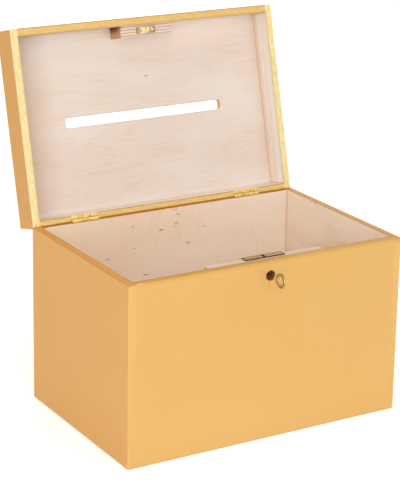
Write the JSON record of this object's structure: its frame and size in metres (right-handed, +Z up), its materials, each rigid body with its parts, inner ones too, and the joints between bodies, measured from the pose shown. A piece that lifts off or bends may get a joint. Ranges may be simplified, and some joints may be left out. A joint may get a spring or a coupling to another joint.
{
  "type": "desk letter box",
  "caption": "Plywood letter box with a hinged lid, a long letter slot in the lid, a small brass lock with its key, and gold-painted outer faces.",
  "frame": {"origin": "on the floor, under the middle of the box's body", "axes": "+Z up, +Y towards the hinges at the back, so the lock is at -Y; +X to the right seen from the front"},
  "size_m": [0.31, 0.3055, 0.3771],
  "materials": {
    "gold_plywood": "birch plywood, gold satin paint outside, bare inside",
    "bare_plywood": "bare birch plywood",
    "brass": "polished",
    "antique_brass": "darkened satin",
    "spring_steel": "satin"
  },
  "bodies": {
    "box": {"bottom_panel": "gold_plywood", "front_wall": "gold_plywood", "back_wall": "gold_plywood", "left_wall": "gold_plywood", "right_wall": "gold_plywood", "lock_block": "bare_plywood", "lock_case": "brass", "lock_cover": "brass", "lock_face_plate": "antique_brass", "lock_screws": "brass", "key_pin": "brass", "bolt_studs": "brass", "bolt_spring": "spring_steel", "left_hinge_body_leaf": "brass", "right_hinge_body_leaf": "brass", "hinge_pins": "brass", "body_hinge_screws": "brass"},
    "lid": {"lid_panel": "gold_plywood", "lid_front_rail": "gold_plywood", "lid_back_rail": "gold_plywood", "lid_left_rail": "gold_plywood", "lid_right_rail": "gold_plywood", "catch_block": "bare_plywood", "catch_plate": "brass", "catch_screws": "brass", "left_hinge_lid_leaf": "brass", "right_hinge_lid_leaf": "brass", "lid_hinge_screws": "brass"},
    "bolt": {"lock_bolt": "brass"},
    "key": {"key": "brass"}
  },
  "joints": [
    {"name": "lid_hinge", "type": "hinge", "parent": "box", "child": "lid", "pos_m": [0, 0.0985, 0.18415], "axis": [1, 0, 0], "range_deg": [0, 104.5]},
    {"name": "key_turn", "type": "hinge", "parent": "box", "child": "key", "pos_m": [0, -0.087, 0.169], "axis": [0, 1, 0], "range_deg": [0, 70]},
    {"name": "bolt_slide", "type": "slide", "parent": "box", "child": "bolt", "axis": [-1, 0, 0], "range_m": [0, 0.0042]}
  ],
  "couplings": [
    {"joint": "key_turn", "follows": "bolt_slide", "rad_per_m": 290.88}
  ]
}
